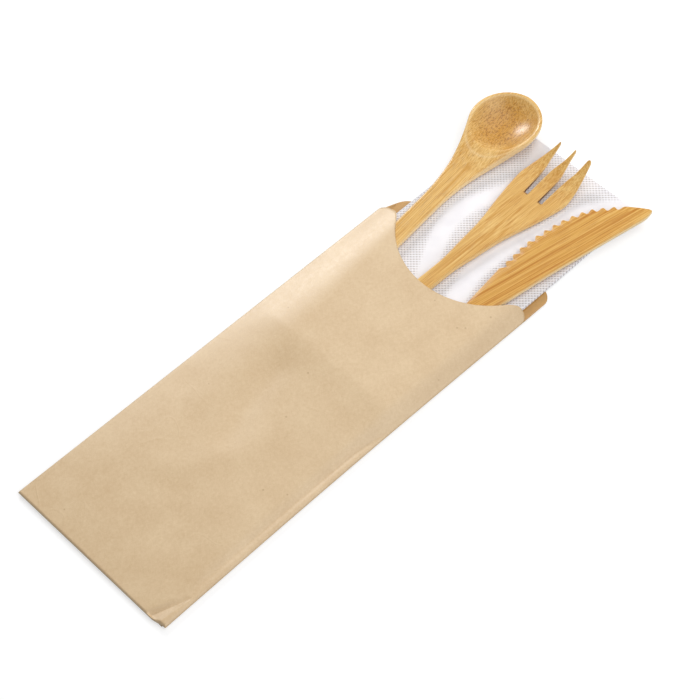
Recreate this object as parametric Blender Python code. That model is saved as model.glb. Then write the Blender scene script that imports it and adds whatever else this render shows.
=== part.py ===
# Bamboo cutlery set: spoon, fork and knife on a folded paper napkin, in a kraft paper sleeve.
# The set lies flat. Lengths run along +Y, the sleeve's mouth faces +Y, and +Z is up. Metres.
import math

import bmesh
import bpy
from mathutils import Vector

# Sleeve
SLEEVE_WIDTH = 0.096
BACK_LENGTH = 0.250
FRONT_LENGTH = 0.2307
PAPER = 0.00015
FOLD_RADIUS = 0.0010
MOUTH_RADIUS = 0.044
MOUTH_BOTTOM = 0.2074
MOUTH_SHIFT = 0.0018
MOUTH_BLEND = 0.006
FRONT_CORNER = 0.004
BACK_CORNER = 0.009
SEAM_WIDTH = 0.012
TURN_UP = 0.015
SIDE_PULL = 0.0009
PUFF = 0.0014
DRAPE_LENGTH = 0.052
TROUGH = 0.0008
CRUSH = 0.0013
CRUMPLE_FOOT = 0.0095
CRUMPLE_HEAD = (0.0028, 0.0175)
CRUMPLE_SWELL = 0.0014
CRUMPLE_DEPTH = 0.0009
CRUMPLE_FACET = 0.0010
CRUMPLE_SLOPE = 0.0055

# Napkin, a 330 mm square folded to eighths
NAPKIN_WIDTH = 0.0824
NAPKIN_LENGTH = 0.165
NAPKIN_THICK = 0.0022
NAPKIN_LAYERS = 4
NAPKIN_TOP = 0.316
NAPKIN_SHIFT = 0.0017
NAPKIN_WAVE = 0.0004
NAPKIN_NOTCH = 0.0006

# Spoon
SPOON_LENGTH = 0.170
SPOON_HANDLE = 0.010
SPOON_THICK = 0.0032
SPOON_NECK = 0.087
BOWL_LENGTH = 0.0400
BOWL_WIDTH = 0.0368
BOWL_RISE = 0.0048
BOWL_EDGE = 0.0018
BOWL_WALL = 0.0021
BOWL_RIM = 0.0016
SPOON_TIP = (-0.0398, 0.3272)
SPOON_LEAN = 6.0

# Fork
FORK_LENGTH = 0.168
FORK_HANDLE = 0.010
FORK_WAIST = 0.0081
FORK_HEAD = 0.0300
FORK_THICK = 0.0032
FORK_HEAD_THICK = 0.0022
FORK_TIP_THICK = 0.0016
TINE_LENGTH = 0.0320
TINE_RISE = 0.0090
TINE_SPREAD = 0.0196
SLOT_WIDTH = 0.0025
SLOT_PITCH = 0.0091
FORK_TIP = (0.0021, 0.316)
FORK_LEAN = -0.4

# Knife
KNIFE_LENGTH = 0.170
KNIFE_HANDLE = 0.010
KNIFE_BLADE = 0.0216
KNIFE_THICK = 0.0032
KNIFE_EDGE = 0.0009
KNIFE_BEVEL = 0.0040
KNIFE_HEEL = 0.0865
SPINE_HOLLOW = 0.0009
TOOTH_COUNT = 14
TOOTH_DEPTH = 0.0013
KNIFE_TIP = (0.0502, 0.3197)
KNIFE_LEAN = -8.6

EDGE_ROUND = 0.0009
CLEARANCE = 0.0003

# Heights, stacked from the table up: paper, napkin, cutlery, and the front panel over them
BACK_INSIDE = 2 * PAPER
NAPKIN_BASE = BACK_INSIDE + CLEARANCE
CUTLERY_BASE = NAPKIN_BASE + NAPKIN_THICK + CLEARANCE
CUTLERY_THICK = max(SPOON_THICK, FORK_THICK, KNIFE_THICK)
FRONT_TOP = CUTLERY_BASE + CUTLERY_THICK + CLEARANCE + PAPER
FLAT_TOP = PAPER + 2 * FOLD_RADIUS
FORK_BUTT_Y = FORK_TIP[1] - FORK_LENGTH


def clear_scene():
    for item in list(bpy.data.objects):
        bpy.data.objects.remove(item, do_unlink=True)


def smooth_step(low, high, value):
    t = min(1.0, max(0.0, (value - low) / (high - low)))
    return t * t * (3 - 2 * t)


def curve_through(points, at):
    """Value at a place on a smooth curve through (place, value) points, level past both ends."""
    if at <= points[0][0]:
        return points[0][1]
    if at >= points[-1][0]:
        return points[-1][1]
    index = max(i for i in range(len(points) - 1) if points[i][0] <= at)

    def slope(i):
        before = points[max(0, i - 1)]
        after = points[min(len(points) - 1, i + 1)]
        return (after[1] - before[1]) / (after[0] - before[0])

    (x0, y0), (x1, y1) = points[index], points[index + 1]
    span = x1 - x0
    t = (at - x0) / span
    near = (2 * t**3 - 3 * t**2 + 1) * y0 + (t**3 - 2 * t**2 + t) * span * slope(index)
    far = (3 * t**2 - 2 * t**3) * y1 + (t**3 - t**2) * span * slope(index + 1)
    return near + far


def spread(low, high, count):
    """Evenly spaced values, both ends included."""
    return [low + (high - low) * i / (count - 1) for i in range(count)]


def crowded(low, high, count):
    """Values that crowd towards both ends, like the shadow of a half circle's points."""
    middle, half = (low + high) / 2, (high - low) / 2
    return [middle - half * math.cos(math.pi * i / (count - 1)) for i in range(count)]


def round_end(low, radius, count):
    """Places that crowd towards a rounded end at low."""
    return [low + radius * (1 - math.cos(math.pi / 2 * i / count)) for i in range(1, count + 1)]


def make_material(name, colour, roughness):
    material = bpy.data.materials.new(name)
    material.use_nodes = True
    shader = material.node_tree.nodes["Principled BSDF"]
    shader.inputs["Base Color"].default_value = (*colour, 1.0)
    shader.inputs["Roughness"].default_value = roughness
    shader.inputs["Metallic"].default_value = 0.0
    return material


def add_object(name, bm, material):
    bmesh.ops.recalc_face_normals(bm, faces=bm.faces[:])
    mesh = bpy.data.meshes.new(name)
    bm.to_mesh(mesh)
    bm.free()
    mesh.materials.append(material)
    mesh.shade_smooth()
    mesh.set_sharp_from_angle(angle=math.radians(40))
    item = bpy.data.objects.new(name, mesh)
    bpy.context.scene.collection.objects.link(item)
    return item


def lay_in_sleeve(item, tip, lean, length):
    """Put a piece whose butt is at y = 0 with its tip at a place on the napkin, turned by lean."""
    turn = math.radians(lean)
    item.rotation_euler = (0, 0, turn)
    item.location = (tip[0] + length * math.sin(turn), tip[1] - length * math.cos(turn), CUTLERY_BASE)


def loft(rings):
    """Skin closed rings of points one after the other, and close both ends."""
    bm = bmesh.new()
    rows = [[bm.verts.new(point) for point in ring] for ring in rings]
    count = len(rings[0])
    for near, far in zip(rows, rows[1:]):
        for i in range(count):
            j = (i + 1) % count
            bm.faces.new((near[i], near[j], far[j], far[i]))
    bm.faces.new(list(reversed(rows[0])))
    bm.faces.new(rows[-1])
    return bm


def slab_ring(y, left, right, base, top, across=5):
    """Section of a flat piece with rounded edges. Base and top give the height at a place across."""
    edge = min(EDGE_ROUND, 0.3 * (right - left))
    places = spread(left + edge, right - edge, across)
    ring = [(x, y, top(x)) for x in places]
    for x, side in ((right - edge, 1), (left + edge, -1)):
        high, low = top(x), base(x)
        drop = min(EDGE_ROUND, 0.4 * (high - low))
        corner = math.sqrt(0.5)
        arc = [
            (x + side * edge * corner, y, high - drop * (1 - corner)),
            (x + side * edge, y, high - drop),
            (x + side * edge, y, low + drop),
            (x + side * edge * corner, y, low + drop * (1 - corner)),
        ]
        if side == 1:
            ring += arc
            ring += [(place, y, base(place)) for place in reversed(places)]
        else:
            ring += reversed(arc)
    return ring


def butt_half(y, half):
    """Half-width of a handle whose butt is rounded to a half circle at y = 0."""
    if y >= half:
        return half
    return math.sqrt(max(0.0, half**2 - (half - y)**2))


# Spoon

def spoon_bowl_centre():
    return SPOON_LENGTH - BOWL_LENGTH / 2


def spoon_half(y):
    """Half-width: straight handle, neck that flares, round bowl."""
    handle, bowl = SPOON_HANDLE / 2, BOWL_WIDTH / 2
    centre, reach = spoon_bowl_centre(), BOWL_LENGTH / 2
    joint = centre - 0.436 * reach
    if y <= SPOON_NECK:
        return butt_half(y, handle)
    if y >= joint:
        return bowl * math.sqrt(max(0.0, 1 - ((y - centre) / reach)**2))
    span = joint - SPOON_NECK
    t = (y - SPOON_NECK) / span
    slope = bowl / reach * 0.436 / 0.9
    return ((2 * t**3 - 3 * t**2 + 1) * handle + (3 * t**2 - 2 * t**3) * 0.9 * bowl
            + (t**3 - t**2) * span * slope)


def spoon_top(y):
    centre = spoon_bowl_centre()
    return SPOON_THICK + BOWL_RISE * smooth_step(centre - 0.038, centre, y)


def spoon_base(x, y):
    """Underside: flat under the handle, rounded under the bowl down to the napkin again."""
    centre, reach = spoon_bowl_centre(), BOWL_LENGTH / 2
    neck = smooth_step(SPOON_NECK, centre - reach, y)
    thick = SPOON_THICK + (BOWL_EDGE - SPOON_THICK) * neck
    back = reach * 1.5 if y < centre else reach
    belly = 1 - (x / (BOWL_WIDTH / 2))**2 - ((y - centre) / back)**2
    depth = SPOON_THICK + BOWL_RISE - BOWL_EDGE
    return max(0.0, spoon_top(y) - thick - depth * max(0.0, belly))


def bowl_cutter():
    """The hollow: a round dish profile turned about its axis, stretched and tilted with the rim."""
    centre, reach = spoon_bowl_centre(), BOWL_LENGTH / 2
    rear, front = centre - reach * 1.1, SPOON_LENGTH - BOWL_RIM
    middle, half_long = (rear + front) / 2, (front - rear) / 2
    half_wide = BOWL_WIDTH / 2 - BOWL_RIM
    low, high = spoon_top(rear), spoon_top(front)
    tilt = math.atan2(high - low, front - rear)
    depth = (low + high) / 2 - BOWL_WALL
    bm = bmesh.new()
    profile = [(r, -depth * (1 - r**2.3)) for r in spread(0, 1, 9)]
    profile += [(1.02, 0.0007), (1.06, 0.004), (0.0, 0.004)]
    points = [bm.verts.new((r * half_wide, 0, z)) for r, z in profile]
    edges = [bm.edges.new(pair) for pair in zip(points, points[1:])]
    bmesh.ops.spin(bm, geom=points + edges, axis=(0, 0, 1), cent=(0, 0, 0), angle=math.tau,
                   steps=40, use_merge=True)
    bmesh.ops.remove_doubles(bm, verts=bm.verts[:], dist=1e-6)
    bmesh.ops.scale(bm, vec=(1, half_long / half_wide, 1), verts=bm.verts[:])
    cutter = add_object("bowl_cutter", bm, make_material("cutter", (1, 0, 0), 0.5))
    cutter.rotation_euler = (tilt, 0, 0)
    cutter.location = (0, middle, (low + high) / 2)
    return cutter


def cut_with(item, cutter):
    cutter.hide_render = True
    cutter.display_type = "WIRE"
    cut = item.modifiers.new("cut", "BOOLEAN")
    cut.operation = "DIFFERENCE"
    cut.solver = "EXACT"
    cut.object = cutter


def make_spoon(bamboo):
    handle = SPOON_HANDLE / 2
    centre, reach = spoon_bowl_centre(), BOWL_LENGTH / 2
    places = [0.0001] + round_end(0, handle, 4) + spread(0.03, SPOON_NECK, 4)
    places += spread(SPOON_NECK + 0.006, centre - 0.003, 14)
    places += [centre + reach * math.sin(math.pi / 2 * i / 9) for i in range(10)]
    rings = []
    for y in places:
        half = max(0.0006, spoon_half(y))
        rings.append(slab_ring(y, -half, half, lambda x: spoon_base(x, y), lambda x: spoon_top(y), 7))
    spoon = add_object("spoon", loft(rings), bamboo)
    cutter = bowl_cutter()
    cut_with(spoon, cutter)
    lay_in_sleeve(spoon, SPOON_TIP, SPOON_LEAN, SPOON_LENGTH)
    cutter.parent = spoon
    return spoon


# Fork

def fork_half(y):
    head = FORK_LENGTH - TINE_LENGTH
    handle, waist, wide = FORK_HANDLE / 2, FORK_WAIST / 2, FORK_HEAD / 2
    if y < handle:
        return butt_half(y, handle)
    outline = [
        (0.020, handle),
        (head - 0.062, waist),
        (head - 0.045, waist + 0.155 * (wide - waist)),
        (head - 0.029, waist + 0.345 * (wide - waist)),
        (head - 0.011, waist + 0.72 * (wide - waist)),
        (head + 0.007, wide),
        (head + 0.014, wide - 0.0007),
        (head + 0.020, wide - 0.0020),
        (FORK_LENGTH, TINE_SPREAD / 2),
    ]
    return curve_through(outline, y)


def fork_base(y):
    """The tines curve up from the head."""
    start = FORK_LENGTH - 0.028
    return TINE_RISE * max(0.0, (y - start) / (FORK_LENGTH - start))**2


def fork_top(y):
    head = FORK_LENGTH - TINE_LENGTH
    thick = FORK_THICK + (FORK_HEAD_THICK - FORK_THICK) * smooth_step(head - 0.045, head - 0.005, y)
    thick += (FORK_TIP_THICK - FORK_HEAD_THICK) * smooth_step(head + 0.005, FORK_LENGTH, y)
    return fork_base(y) + thick


def slot_cutter(side):
    """Square-ended slot that widens between two pointed tines."""
    root = FORK_LENGTH - TINE_LENGTH
    middle, half = SLOT_PITCH / 2, SLOT_WIDTH / 2
    inner = [(root, half), (root + 0.012, half + 0.0002), (root + 0.021, half + 0.0008),
             (root + 0.027, half + 0.0016), (FORK_LENGTH + 0.001, half + 0.0030)]
    outer = [(root, half), (root + 0.012, half + 0.0006), (root + 0.021, half + 0.0019),
             (root + 0.027, half + 0.0028), (FORK_LENGTH + 0.001, half + 0.0036)]
    outline = [(side * (middle - wide), y) for y, wide in inner]
    outline += [(side * (middle + wide), y) for y, wide in reversed(outer)]
    bm = bmesh.new()
    face = bm.faces.new([bm.verts.new((x, y, -0.002)) for x, y in outline])
    raised = bmesh.ops.extrude_face_region(bm, geom=[face])["geom"]
    verts = [v for v in raised if isinstance(v, bmesh.types.BMVert)]
    bmesh.ops.translate(bm, verts=verts, vec=(0, 0, TINE_RISE + 0.008))
    return add_object("slot_cutter", bm, make_material("cutter", (1, 0, 0), 0.5))


def make_fork(bamboo):
    head = FORK_LENGTH - TINE_LENGTH
    places = [0.0001] + round_end(0, FORK_HANDLE / 2, 4) + spread(0.03, head - 0.062, 3)
    places += spread(head - 0.056, head + 0.005, 13) + spread(head + 0.008, FORK_LENGTH, 11)
    rings = []
    for y in places:
        half = max(0.0006, fork_half(y))
        rings.append(slab_ring(y, -half, half, lambda x: fork_base(y), lambda x: fork_top(y), 5))
    fork = add_object("fork", loft(rings), bamboo)
    for side in (-1, 1):
        cutter = slot_cutter(side)
        cut_with(fork, cutter)
        cutter.parent = fork
    lay_in_sleeve(fork, FORK_TIP, FORK_LEAN, FORK_LENGTH)
    return fork


# Knife

def spine_x(y):
    """The spine is nearly straight, slightly hollow along the blade."""
    return -SPINE_HOLLOW * math.sin(math.pi * min(1.0, max(0.0, (y - 0.07) / (KNIFE_LENGTH - 0.07))))


def blade_width(y):
    wide = KNIFE_BLADE
    outline = [
        (KNIFE_HEEL, wide - 0.0042),
        (KNIFE_HEEL + 0.0135, wide - 0.0017),
        (KNIFE_HEEL + 0.0285, wide - 0.0004),
        (KNIFE_HEEL + 0.0415, wide),
        (KNIFE_LENGTH - 0.030, wide - 0.0014),
        (KNIFE_LENGTH - 0.020, wide - 0.0047),
        (KNIFE_LENGTH - 0.012, wide - 0.0094),
        (KNIFE_LENGTH - 0.004, wide - 0.0153),
        (KNIFE_LENGTH - 0.0005, 0.0024),
    ]
    return curve_through(outline, y)


def tooth(u):
    """Depth of the scalloped edge along one tooth: a steep side, a round crest, a falling back."""
    return curve_through([(0.0, 1.0), (0.10, 0.25), (0.24, 0.0), (0.55, 0.12), (0.85, 0.65), (1.0, 1.0)], u)


def belly_stations():
    """Places along the cutting edge, each with its inward normal and its share of tooth depth."""
    steps = 400
    start, end = KNIFE_HEEL, KNIFE_LENGTH - 0.0005
    line = [Vector((-blade_width(y) + spine_x(y), y)) for y in spread(start, end, steps)]
    lengths = [0.0]
    for near, far in zip(line, line[1:]):
        lengths.append(lengths[-1] + (far - near).length)
    toothed = lengths[-1] * 0.86

    def place(distance):
        index = min(steps - 2, max(i for i in range(steps) if lengths[i] <= distance))
        run = lengths[index + 1] - lengths[index]
        along = line[index + 1] - line[index]
        point = line[index] + along * min(1.0, (distance - lengths[index]) / run)
        return point, Vector((along.y, -along.x)).normalized()

    stations = []
    for number in range(TOOTH_COUNT):
        for u in (0.0, 0.1, 0.24, 0.55, 0.85):
            point, normal = place(toothed * (number + u) / TOOTH_COUNT)
            stations.append((point, normal, tooth(u)))
    for share in (0.86, 0.87, 0.885, 0.91, 0.94, 0.97, 0.99):
        point, normal = place(lengths[-1] * share)
        stations.append((point, normal, 1.0 if share == 0.86 else 0.0))
    return stations


def knife_ring(spine, edge, bevel):
    """Section from the spine to the cutting edge, with the bevel on both faces."""
    middle = KNIFE_THICK / 2
    thin = KNIFE_EDGE / 2
    inward = (edge - spine).normalized()
    soft = min(EDGE_ROUND, 0.3 * (edge - spine).length)
    corner = spine + inward * soft
    return [
        (corner.x, corner.y, KNIFE_THICK),
        (spine.x, spine.y, KNIFE_THICK - soft),
        (spine.x, spine.y, soft),
        (corner.x, corner.y, 0),
        (bevel.x, bevel.y, 0),
        (edge.x, edge.y, middle - thin),
        (edge.x, edge.y, middle + thin),
        (bevel.x, bevel.y, KNIFE_THICK),
    ]


def make_knife(bamboo):
    rings = []
    handle = KNIFE_HANDLE
    heel_start = KNIFE_HEEL - 0.027
    places = [0.0001] + round_end(0, handle / 2, 4) + [0.03, heel_start - 0.006, heel_start]
    places += spread(heel_start + 0.006, KNIFE_HEEL - 0.0004, 4)
    for y in places:
        half = max(0.0006, butt_half(y, handle / 2))
        flare = max(0.0, (y - heel_start) / (KNIFE_HEEL - heel_start))
        wide = flare * (blade_width(KNIFE_HEEL) - handle)
        spine = Vector((-handle / 2 + half + spine_x(y), y))
        edge = Vector((-handle / 2 - half - wide, y))
        bevel = edge + Vector((min(half, EDGE_ROUND + (KNIFE_BEVEL - EDGE_ROUND) * flare), 0))
        ring = knife_ring(spine, edge, bevel)
        thin = KNIFE_THICK / 2 - EDGE_ROUND + (KNIFE_EDGE / 2 - KNIFE_THICK / 2 + EDGE_ROUND) * flare
        ring[5] = (edge.x, edge.y, KNIFE_THICK / 2 - thin)
        ring[6] = (edge.x, edge.y, KNIFE_THICK / 2 + thin)
        rings.append(ring)
    for point, normal, depth in belly_stations():
        spine = Vector((spine_x(point.y), point.y))
        across = spine.x - point.x
        bevel = point + normal * min(KNIFE_BEVEL, 0.5 * across)
        edge = point + normal * TOOTH_DEPTH * depth
        rings.append(knife_ring(spine, edge, bevel))
    knife = add_object("knife", loft(rings), bamboo)
    lay_in_sleeve(knife, KNIFE_TIP, KNIFE_LEAN, KNIFE_LENGTH)
    return knife


# Napkin

def napkin_side(side, layers, base, pitch):
    """Edge of the folded stack from the bottom up: rounded folds with a notch between layers."""
    edge = NAPKIN_WIDTH / 2
    points = []
    for layer in range(layers):
        low = base + layer * pitch
        if layer:
            points.append((side * (edge - NAPKIN_NOTCH), low))
        points.append((side * (edge - 0.15 * pitch), low + 0.2 * pitch))
        points.append((side * edge, low + 0.5 * pitch))
        points.append((side * (edge - 0.15 * pitch), low + 0.8 * pitch))
    return points


def make_napkin(tissue):
    pitch = NAPKIN_THICK / NAPKIN_LAYERS
    inner = spread(-NAPKIN_WIDTH / 2 + pitch, NAPKIN_WIDTH / 2 - pitch, 17)
    rings = []
    start, end = NAPKIN_TOP - NAPKIN_LENGTH, NAPKIN_TOP
    nose = NAPKIN_THICK / 2
    places = spread(start, end - nose, 15) + [end - nose * 0.4, end - nose * 0.08, end]
    middle = NAPKIN_THICK / 2
    for y in places:
        past = max(0.0, (y - (end - nose)) / nose)
        squeeze = max(0.12, math.sqrt(max(0.0, 1 - past**2)))
        ring = []
        for x in inner:
            swell = math.sin(x * 95 + y * 42) * math.sin(y * 61 - x * 30 + 0.6)
            ring.append((x, NAPKIN_THICK - NAPKIN_WAVE * (0.5 + 0.5 * swell)))
        ring += reversed(napkin_side(1, NAPKIN_LAYERS, 0.0, pitch))
        ring += [(x, 0.0) for x in reversed(inner)]
        ring += napkin_side(-1, NAPKIN_LAYERS, 0.0, pitch)
        rings.append([(x, y, middle + (z - middle) * squeeze) for x, z in ring])
    napkin = add_object("napkin", loft(rings), tissue)
    napkin.location = (NAPKIN_SHIFT, 0, NAPKIN_BASE)
    return napkin


# Sleeve

def corner_drop(x, corner):
    """How far a rounded corner falls below the panel's end at a place across."""
    past = abs(x) - (SLEEVE_WIDTH / 2 - corner)
    return corner - math.sqrt(max(0.0, corner**2 - past**2)) if past > 0 else 0.0


def front_end(x):
    """Upper edge of the front panel: level shoulders and a scooped round mouth."""
    dx = x - MOUTH_SHIFT
    level = FRONT_LENGTH - corner_drop(x, FRONT_CORNER)
    if abs(dx) >= MOUTH_RADIUS:
        return level
    scoop = MOUTH_BOTTOM + MOUTH_RADIUS - math.sqrt(MOUTH_RADIUS**2 - dx**2)
    mix = min(1.0, max(0.0, 0.5 + 0.5 * (scoop - FRONT_LENGTH) / MOUTH_BLEND))
    low = scoop + (FRONT_LENGTH - scoop) * mix - MOUTH_BLEND * mix * (1 - mix)
    return low - corner_drop(x, FRONT_CORNER)


def back_end(x):
    return BACK_LENGTH - corner_drop(x, BACK_CORNER)


def side_edge(side, y):
    """The side folds: the left one straight, the right one drawn in slightly by the contents."""
    pull = SIDE_PULL * math.sin(math.pi * min(1.0, y / FRONT_LENGTH)) if side > 0 else 0.0
    return SLEEVE_WIDTH / 2 - pull


def corner_crumple(x, y):
    """Crushed corner at the bottom right: a sharp valley up from the edge, swollen paper on its left
    and a raised facet between it and the side fold."""
    edge = SLEEVE_WIDTH / 2
    foot = Vector((edge - CRUMPLE_FOOT, 0.0))
    head = Vector((edge - CRUMPLE_HEAD[0], CRUMPLE_HEAD[1]))
    run = (head - foot).length
    along = (head - foot) / run
    offset = Vector((x, y)) - foot
    travel = offset.dot(along)
    away = offset.x * along.y - offset.y * along.x
    reach = smooth_step(-0.25 * run, 0.1 * run, travel) * (1 - smooth_step(0.7 * run, 1.15 * run, travel))
    if away < 0:
        rise = CRUMPLE_SWELL * smooth_step(-2.8 * CRUMPLE_SLOPE, -CRUMPLE_SLOPE, away)
        fall = (CRUMPLE_SWELL + CRUMPLE_DEPTH) * max(0.0, 1 + away / CRUMPLE_SLOPE)**1.3
        return reach * (rise - fall)
    facet = (CRUMPLE_FACET + CRUMPLE_DEPTH) * min(1.0, away / (0.8 * CRUMPLE_SLOPE))
    return reach * (facet - CRUMPLE_DEPTH) * (1 - smooth_step(edge - 0.003, edge, x))


def spoon_outer_edge(y):
    """How far left of the middle the spoon's handle reaches inside the sleeve."""
    inside = min(FRONT_LENGTH, max(FORK_BUTT_Y, y))
    axis = SPOON_TIP[0] + math.tan(math.radians(SPOON_LEAN)) * (SPOON_TIP[1] - inside)
    return SPOON_HANDLE / 2 - axis


def knife_outer_edge():
    """How far right of the middle the knife's spine reaches inside the sleeve."""
    turn = math.radians(KNIFE_LEAN)
    return KNIFE_TIP[0] + math.tan(turn) * (KNIFE_TIP[1] - FRONT_LENGTH)


def taut_ramp(t):
    """Paper drawn from a side fold up to the edge of what it covers: steep first, then level."""
    return 1 - (1 - t)**2 * (1 + 0.4 * t)


def front_height(x, y):
    """Outer height of the front panel as it drapes over the contents."""
    full = FRONT_TOP - FLAT_TOP
    inside = FORK_BUTT_Y - 0.003
    lift = curve_through([(0.0, 0.0), (0.018, 0.45 * PUFF), (0.055, PUFF), (inside - DRAPE_LENGTH, PUFF * 1.15),
                          (inside - 0.35 * DRAPE_LENGTH, 0.62 * full), (inside, full)], y)
    left = side_edge(-1, y) - FOLD_RADIUS
    right = side_edge(1, y) - FOLD_RADIUS
    ramp_left = min(1.0, max(0.0, (left + x) / (left - spoon_outer_edge(y))))
    ramp_right = min(1.0, max(0.0, (right - x) / (right - knife_outer_edge())))
    profile = taut_ramp(ramp_left) * taut_ramp(ramp_right)
    trough = TROUGH * math.exp(-((x - 0.003) / 0.012)**2 - ((y - inside + 0.030) / 0.026)**2)
    trough *= 1 - smooth_step(inside - 0.016, inside - 0.002, y)
    return FLAT_TOP + lift * profile - trough + corner_crumple(x, y)


def sleeve_loop(columns):
    """One turn round the flat tube, as (x, side, angle): front right to left, then back again."""
    edge = SLEEVE_WIDTH / 2 - FOLD_RADIUS
    half = crowded(SEAM_WIDTH / 2, edge, columns // 2)
    places = [-x for x in reversed(half)] + [0.0] + half
    loop = [(x, "front", 90) for x in reversed(places)]
    loop += [(-edge, "fold", angle) for angle in (45, 0, -45)]
    loop += [(x, "back", -90) for x in places]
    loop += [(edge, "fold", angle) for angle in (-45, 0, 45)]
    return loop


def sleeve_point(station, row, rows):
    """Point of the sleeve's outer face for a place round the tube and a row up its length."""
    x, side, angle = station
    fold_end = FRONT_LENGTH - FRONT_CORNER
    if side == "front" or angle == 45:
        end = front_end(x)
    elif side == "back" or angle == -45:
        end = back_end(x)
    else:
        end = fold_end
    level = 0.150
    height = rows[row]
    y = height if height <= level else level + (height - level) * (end - level) / (rows[-1] - level)
    hand = 1 if x > 0 else -1
    pulled = side_edge(hand, y)
    scale = (pulled - FOLD_RADIUS) / (SLEEVE_WIDTH / 2 - FOLD_RADIUS)
    crush = CRUSH * smooth_step(0.040, SLEEVE_WIDTH / 2, x) * (1 - smooth_step(0.0, 0.006, y))
    middle = PAPER + FOLD_RADIUS
    turn = math.radians(angle)
    wide = x * scale + hand * FOLD_RADIUS * math.cos(turn) if side == "fold" else x * scale
    if side == "front":
        z = front_height(x * scale, y)
    else:
        z = middle + FOLD_RADIUS * math.sin(turn)
    return Vector((wide, y + crush, z))


def make_sleeve(kraft):
    columns = 29
    loop = sleeve_loop(columns)
    rows = [FOLD_RADIUS, 0.003, 0.006, 0.009, 0.0125, TURN_UP, 0.020, 0.028, 0.040, 0.055, 0.070, 0.085]
    rows += spread(0.097, 0.150, 6) + [0.165, 0.185, 0.200, 0.212, 0.222, FRONT_LENGTH]
    bm = bmesh.new()
    grid = [[bm.verts.new(sleeve_point(station, row, rows)) for station in loop] for row in range(len(rows))]
    count = len(loop)
    for low, high in zip(grid, grid[1:]):
        for i in range(count):
            j = (i + 1) % count
            bm.faces.new((low[i], low[j], high[j], high[i]))
    close_bottom(bm, grid[0], columns)
    bmesh.ops.recalc_face_normals(bm, faces=bm.faces[:])
    bmesh.ops.solidify(bm, geom=bm.faces[:], thickness=-PAPER)
    bmesh.ops.recalc_face_normals(bm, faces=bm.faces[:])
    bm.normal_update()
    add_glued_laps(bm)
    return add_object("paper_sleeve", bm, kraft)


def close_bottom(bm, ring, columns):
    """Fold the bottom edge: each front point meets the back point under it over a rounded edge."""
    count = len(ring)
    fronts = [ring[count - 1]] + ring[:columns] + [ring[columns]]
    backs = [ring[count - 3]] + list(reversed(ring[columns + 3:2 * columns + 3])) + [ring[columns + 2]]
    tips = (ring[count - 2], ring[columns + 1])
    noses = []
    for front, rear in zip(fronts, backs):
        middle = (front.co + rear.co) / 2
        noses.append(bm.verts.new((middle.x, middle.y - FOLD_RADIUS, middle.z)))
    for i in range(len(noses) - 1):
        bm.faces.new((fronts[i], fronts[i + 1], noses[i + 1], noses[i]))
        bm.faces.new((noses[i], noses[i + 1], backs[i + 1], backs[i]))
    for tip, i in ((tips[0], 0), (tips[1], -1)):
        bm.faces.new((tip, fronts[i], noses[i]))
        bm.faces.new((tip, noses[i], backs[i]))


def add_glued_laps(bm):
    """One more layer of paper under the back panel: the lengthwise seam and the turned-up bottom."""
    under = []
    for face in bm.faces:
        middle = face.calc_center_median()
        flat = face.normal.z < -0.999 and all(abs(v.co.z - PAPER) < 1e-7 for v in face.verts)
        if flat and (abs(middle.x) < SEAM_WIDTH / 2 or middle.y < TURN_UP):
            under.append(face)
    moved = bmesh.ops.extrude_face_region(bm, geom=under)["geom"]
    bmesh.ops.delete(bm, geom=under, context="FACES")
    verts = [v for v in moved if isinstance(v, bmesh.types.BMVert)]
    bmesh.ops.translate(bm, verts=verts, vec=(0, 0, -PAPER))


def centre_on_base(items):
    """Put the middle of the whole set's footprint at the origin, carried by one empty."""
    bpy.context.view_layer.update()
    graph = bpy.context.evaluated_depsgraph_get()
    corners = []
    for item in items:
        solid = item.evaluated_get(graph)
        mesh = solid.to_mesh()
        corners += [item.matrix_world @ v.co for v in mesh.vertices]
        solid.to_mesh_clear()
    carrier = bpy.data.objects.new("set_origin", None)
    bpy.context.scene.collection.objects.link(carrier)
    for axis in range(2):
        values = [corner[axis] for corner in corners]
        carrier.location[axis] = -(min(values) + max(values)) / 2
    carrier.location[2] = -min(corner[2] for corner in corners)
    for item in items:
        item.parent = carrier
    return carrier


def main():
    clear_scene()
    bamboo = make_material("bamboo", (0.72, 0.46, 0.20), 0.45)
    kraft = make_material("kraft_paper", (0.68, 0.51, 0.31), 0.85)
    tissue = make_material("tissue", (0.86, 0.85, 0.87), 0.95)
    items = [make_sleeve(kraft), make_napkin(tissue)]
    items += [make_spoon(bamboo), make_fork(bamboo), make_knife(bamboo)]
    carrier = centre_on_base(items)
    print("set moved by", [round(value, 6) for value in carrier.location])


main()
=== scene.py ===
import math
from functools import partial

import bmesh
import bpy
from mathutils import Matrix, Vector, noise


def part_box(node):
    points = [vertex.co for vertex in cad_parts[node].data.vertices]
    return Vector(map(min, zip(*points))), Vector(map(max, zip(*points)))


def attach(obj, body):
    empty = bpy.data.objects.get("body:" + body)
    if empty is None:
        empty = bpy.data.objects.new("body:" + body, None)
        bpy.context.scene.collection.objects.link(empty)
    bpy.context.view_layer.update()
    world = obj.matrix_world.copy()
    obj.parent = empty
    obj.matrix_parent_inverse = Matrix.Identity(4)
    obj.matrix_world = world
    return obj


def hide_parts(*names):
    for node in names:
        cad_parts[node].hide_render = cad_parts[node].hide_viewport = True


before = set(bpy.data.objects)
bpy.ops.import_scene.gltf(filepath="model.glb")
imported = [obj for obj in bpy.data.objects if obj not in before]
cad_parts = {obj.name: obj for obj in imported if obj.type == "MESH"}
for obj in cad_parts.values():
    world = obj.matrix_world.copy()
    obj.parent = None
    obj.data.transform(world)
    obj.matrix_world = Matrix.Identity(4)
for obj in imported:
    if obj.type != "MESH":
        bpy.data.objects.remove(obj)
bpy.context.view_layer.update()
micron = 0.000001


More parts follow.
